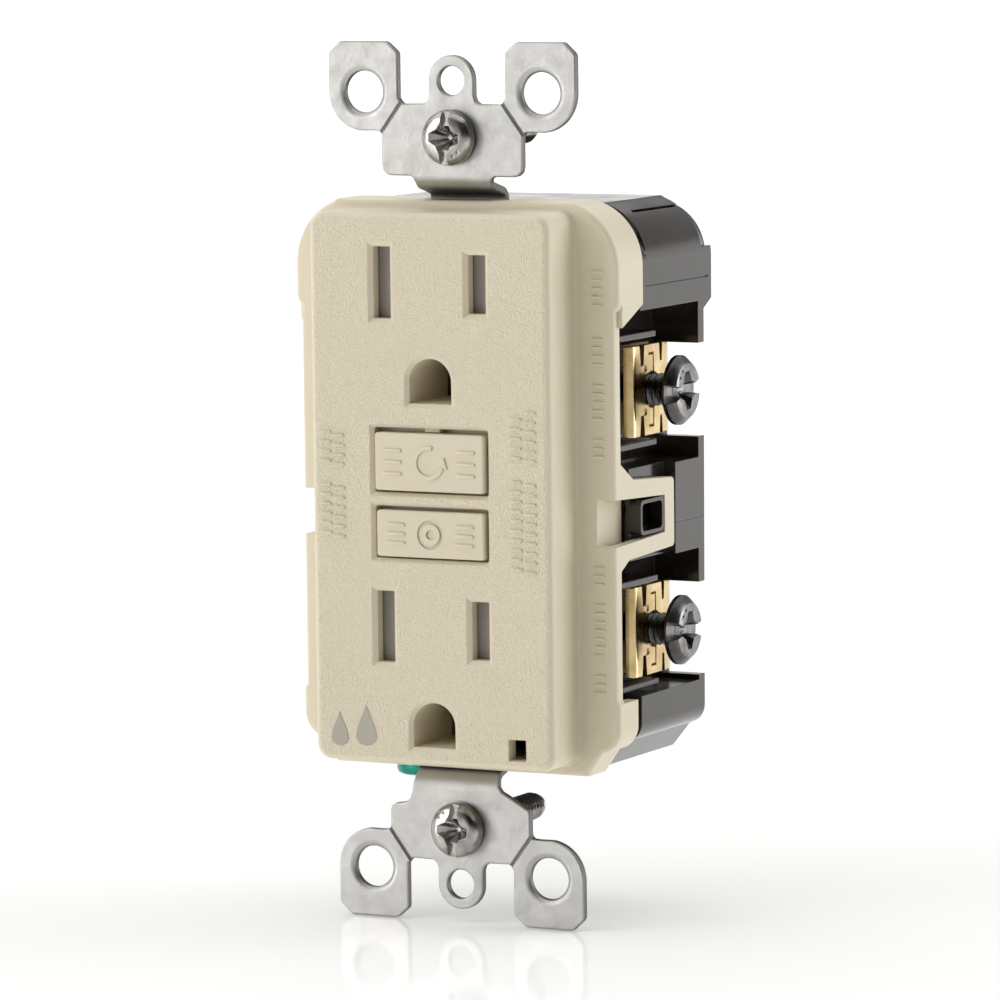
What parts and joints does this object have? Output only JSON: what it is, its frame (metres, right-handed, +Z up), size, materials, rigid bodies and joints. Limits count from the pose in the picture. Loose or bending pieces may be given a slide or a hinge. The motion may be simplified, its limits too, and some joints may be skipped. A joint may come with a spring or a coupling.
{
  "type": "gfci outlet",
  "caption": "Duplex ground-fault receptacle on a steel mounting strap, with press buttons, side screw terminals, shutters and its trip mechanism inside.",
  "frame": {"origin": "centre of the device on the front plane of the mounting strap, midway between the two box screws", "axes": "+X to the right seen from the front, the face looks along -Y and +Y goes into the wall box, +Z up along the strap"},
  "size_m": [0.048, 0.0347, 0.1062],
  "materials": {
    "ivory_plastic": "fine pebbled mould texture, matt",
    "smoke_plastic": "glossy moulded",
    "black_plastic": "matt moulded",
    "grey_plastic": "matt moulded",
    "natural_nylon": "satin moulded",
    "zinc_plated_steel": "satin zinc plate",
    "dark_screw_steel": "dark satin plate",
    "spring_steel": "drawn wire",
    "nickel_plate": "nickel plate on brass",
    "brass": "rolled sheet, satin",
    "copper": "bare copper, satin",
    "green_screw": "green plated",
    "board_laminate": "solder-mask laminate",
    "fibre_washer": "pressed fibre",
    "clear_plastic": "clear moulded",
    "component_blue": "dipped epoxy"
  },
  "bodies": {
    "case": {"circuit_board": "board_laminate", "filter_capacitor": "component_blue", "front_cover": "ivory_plastic", "ground_contact_lower": "brass", "ground_contact_upper": "brass", "hot_face_contact": "brass", "hot_line_conductor": "copper", "indicator_led": "clear_plastic", "inner_frame": "black_plastic", "light_pipe": "clear_plastic", "line_hot_terminal": "brass", "line_neutral_terminal": "nickel_plate", "load_hot_terminal": "brass", "load_neutral_terminal": "nickel_plate", "mounting_strap": "zinc_plated_steel", "neutral_coil": "copper", "neutral_face_contact": "brass", "neutral_line_conductor": "copper", "plunger_spring": "spring_steel", "rear_housing": "smoke_plastic", "reset_spring": "spring_steel", "screw_retainer_lower": "fibre_washer", "screw_retainer_upper": "fibre_washer", "sensing_chip": "black_plastic", "sensing_coil": "copper", "shutter_spring_lower": "spring_steel", "shutter_spring_upper": "spring_steel", "solenoid_bobbin": "natural_nylon", "solenoid_coil": "copper", "transformer_cup": "natural_nylon", "trip_thyristor": "black_plastic", "varistor": "component_blue"},
    "reset_button_assembly": {"reset_button": "ivory_plastic", "reset_rod": "zinc_plated_steel"},
    "test_button": {"test_button": "ivory_plastic"},
    "test_leaf": {"test_leaf": "brass"},
    "shutter_upper": {"shutter_upper": "grey_plastic"},
    "shutter_lower": {"shutter_lower": "grey_plastic"},
    "contact_carriage": {"contact_carriage": "black_plastic"},
    "hot_contact_arm": {"hot_contact_arm": "copper"},
    "neutral_contact_arm": {"neutral_contact_arm": "copper"},
    "solenoid_plunger": {"solenoid_plunger": "zinc_plated_steel"},
    "latch_plate": {"latch_plate": "zinc_plated_steel"},
    "mounting_screw_upper": {"mounting_screw_upper": "zinc_plated_steel"},
    "mounting_screw_lower": {"mounting_screw_lower": "zinc_plated_steel"},
    "ground_screw": {"ground_screw": "green_screw"},
    "load_hot_clamp": {"load_hot_clamp": "brass"},
    "load_hot_screw": {"load_hot_screw": "dark_screw_steel"},
    "load_neutral_clamp": {"load_neutral_clamp": "nickel_plate"},
    "load_neutral_screw": {"load_neutral_screw": "dark_screw_steel"},
    "line_hot_clamp": {"line_hot_clamp": "brass"},
    "line_hot_screw": {"line_hot_screw": "dark_screw_steel"},
    "line_neutral_clamp": {"line_neutral_clamp": "nickel_plate"},
    "line_neutral_screw": {"line_neutral_screw": "dark_screw_steel"}
  },
  "joints": [
    {"name": "reset_press", "type": "slide", "parent": "case", "child": "reset_button_assembly", "axis": [0, 1, 0], "range_m": [0, 0.0023], "stiffness_N_per_m": 900, "deforming": ["reset_spring"]},
    {"name": "test_press", "type": "slide", "parent": "case", "child": "test_button", "axis": [0, 1, 0], "range_m": [0, 0.0015], "stiffness_N_per_m": 900},
    {"name": "test_leaf_flex", "type": "hinge", "parent": "case", "child": "test_leaf", "pos_m": [0.0056, 0.0135, -0.0094], "axis": [-1, 0, 0], "range_deg": [0, 20.5]},
    {"name": "contact_carriage_slide", "type": "slide", "parent": "case", "child": "contact_carriage", "axis": [0, -1, 0], "range_m": [0, 0.00105], "stiffness_N_per_m": 600},
    {"name": "hot_arm_flex", "type": "hinge", "parent": "case", "child": "hot_contact_arm", "pos_m": [0.0095, 0.0165, -0.0096], "axis": [1, 0, 0], "range_deg": [0, 4.65]},
    {"name": "neutral_arm_flex", "type": "hinge", "parent": "case", "child": "neutral_contact_arm", "pos_m": [-0.0095, 0.0165, -0.0096], "axis": [1, 0, 0], "range_deg": [0, 4.65]},
    {"name": "plunger_pull", "type": "slide", "parent": "case", "child": "solenoid_plunger", "axis": [0, 0, -1], "range_m": [0, 0.0016], "stiffness_N_per_m": 400, "deforming": ["plunger_spring"]},
    {"name": "latch_slide", "type": "slide", "parent": "case", "child": "latch_plate", "axis": [0, 0, -1], "range_m": [0, 0.0016]},
    {"name": "shutter_upper_slide", "type": "slide", "parent": "case", "child": "shutter_upper", "axis": [-1, 0, 0], "range_m": [0, 0.003], "stiffness_N_per_m": 150, "deforming": ["shutter_spring_upper"]},
    {"name": "shutter_lower_slide", "type": "slide", "parent": "case", "child": "shutter_lower", "axis": [-1, 0, 0], "range_m": [0, 0.003], "stiffness_N_per_m": 150, "deforming": ["shutter_spring_lower"]},
    {"name": "load_hot_clamp_slide", "type": "slide", "parent": "case", "child": "load_hot_clamp", "axis": [-1, 0, 0], "range_m": [0, 0.00159]},
    {"name": "load_hot_screw_turn", "type": "hinge", "parent": "load_hot_clamp", "child": "load_hot_screw", "pos_m": [0.0192, 0.0146, 0.0109], "axis": [-1, 0, 0], "range_deg": [0, 721]},
    {"name": "load_neutral_clamp_slide", "type": "slide", "parent": "case", "child": "load_neutral_clamp", "axis": [1, 0, 0], "range_m": [0, 0.00159]},
    {"name": "load_neutral_screw_turn", "type": "hinge", "parent": "load_neutral_clamp", "child": "load_neutral_screw", "pos_m": [-0.0192, 0.0146, 0.0109], "axis": [1, 0, 0], "range_deg": [0, 721]},
    {"name": "line_hot_clamp_slide", "type": "slide", "parent": "case", "child": "line_hot_clamp", "axis": [-1, 0, 0], "range_m": [0, 0.00159]},
    {"name": "line_hot_screw_turn", "type": "hinge", "parent": "line_hot_clamp", "child": "line_hot_screw", "pos_m": [0.0192, 0.0146, -0.0181], "axis": [-1, 0, 0], "range_deg": [0, 721]},
    {"name": "line_neutral_clamp_slide", "type": "slide", "parent": "case", "child": "line_neutral_clamp", "axis": [1, 0, 0], "range_m": [0, 0.00159]},
    {"name": "line_neutral_screw_turn", "type": "hinge", "parent": "line_neutral_clamp", "child": "line_neutral_screw", "pos_m": [-0.0192, 0.0146, -0.0181], "axis": [1, 0, 0], "range_deg": [0, 721]},
    {"name": "mounting_screw_upper_turn", "type": "hinge", "parent": "case", "child": "mounting_screw_upper", "pos_m": [0, 0, 0.04165], "axis": [0, 1, 0], "continuous": true},
    {"name": "mounting_screw_lower_turn", "type": "hinge", "parent": "case", "child": "mounting_screw_lower", "pos_m": [0, 0, -0.04165], "axis": [0, 1, 0], "continuous": true},
    {"name": "ground_screw_turn", "type": "hinge", "parent": "case", "child": "ground_screw", "pos_m": [-0.009, 0.0086, -0.0352], "axis": [0, 0, 1], "continuous": true}
  ],
  "couplings": [
    {"joint": "test_leaf_flex", "follows": "test_press", "rad_per_m": 234},
    {"joint": "hot_arm_flex", "follows": "contact_carriage_slide", "rad_per_m": 76},
    {"joint": "neutral_arm_flex", "follows": "contact_carriage_slide", "rad_per_m": 76},
    {"joint": "latch_slide", "follows": "plunger_pull", "ratio": 1},
    {"joint": "load_hot_screw_turn", "follows": "load_hot_clamp_slide", "rad_per_m": 7913.3},
    {"joint": "load_neutral_screw_turn", "follows": "load_neutral_clamp_slide", "rad_per_m": 7913.3},
    {"joint": "line_hot_screw_turn", "follows": "line_hot_clamp_slide", "rad_per_m": 7913.3},
    {"joint": "line_neutral_screw_turn", "follows": "line_neutral_clamp_slide", "rad_per_m": 7913.3}
  ]
}
